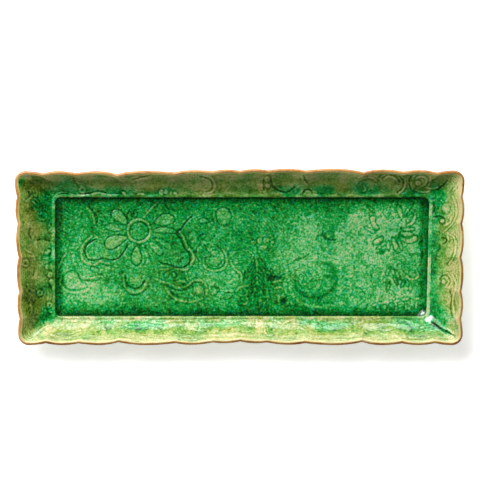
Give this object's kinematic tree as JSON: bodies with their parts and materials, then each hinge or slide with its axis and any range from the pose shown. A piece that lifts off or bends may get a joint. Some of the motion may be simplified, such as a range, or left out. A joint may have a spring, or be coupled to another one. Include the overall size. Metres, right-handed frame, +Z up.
{
  "type": "oblong serving tray",
  "caption": "Long narrow glazed stoneware serving tray with a scalloped iron-brown rim, flared walls and a recessed flat well pressed with a floral lace relief.",
  "frame": {"origin": "on the table plane, under the middle of the tray's outline", "axes": "+X along the tray's length, +Y across its width, +Z up out of the well"},
  "size_m": [0.3553, 0.1394, 0.027],
  "materials": {
    "fired_clay": "matt fired stoneware, tan to buff",
    "bare_foot_clay": "unglazed, dry and slightly gritty",
    "emerald_glaze": "glossy copper-green glaze, pooled dark in grooves and thin over the relief",
    "leaf_green_glaze": "glossy pale yellow-green glaze, deepening to emerald where it has run down",
    "olive_glaze": "glossy olive-green glaze, ending above the foot",
    "iron_brown_band": "satin amber to iron brown, thin over the edge"
  },
  "bodies": {
    "root": {"stoneware_body": "fired_clay", "foot_ring": "bare_foot_clay", "well_glaze": "emerald_glaze", "wall_glaze": "leaf_green_glaze", "outer_glaze": "olive_glaze", "rim_band": "iron_brown_band"}
  },
  "joints": []
}
